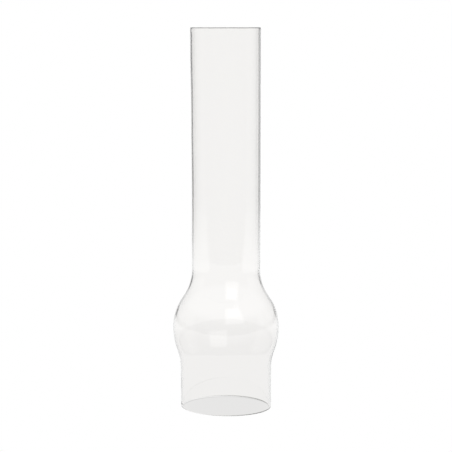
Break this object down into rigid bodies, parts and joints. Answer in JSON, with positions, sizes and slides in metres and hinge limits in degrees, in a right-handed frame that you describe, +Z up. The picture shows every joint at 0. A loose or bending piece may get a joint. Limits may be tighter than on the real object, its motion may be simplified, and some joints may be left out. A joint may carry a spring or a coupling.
{
  "type": "lamp chimney",
  "caption": "Clear blown glass chimney for a flat-wick oil lamp: straight collar, rounded bulge around the flame, tall flue, open at both ends.",
  "frame": {"origin": "centre of the base rim, on the surface the chimney stands on", "axes": "+Z up the chimney's axis, from the base rim to the top rim; the shape is round, so X and Y are free"},
  "size_m": [0.0612, 0.0612, 0.22],
  "materials": {
    "clear_glass": "clear, smooth, fire-polished rims"
  },
  "bodies": {
    "root": {"glass_chimney": "clear_glass"}
  },
  "joints": []
}
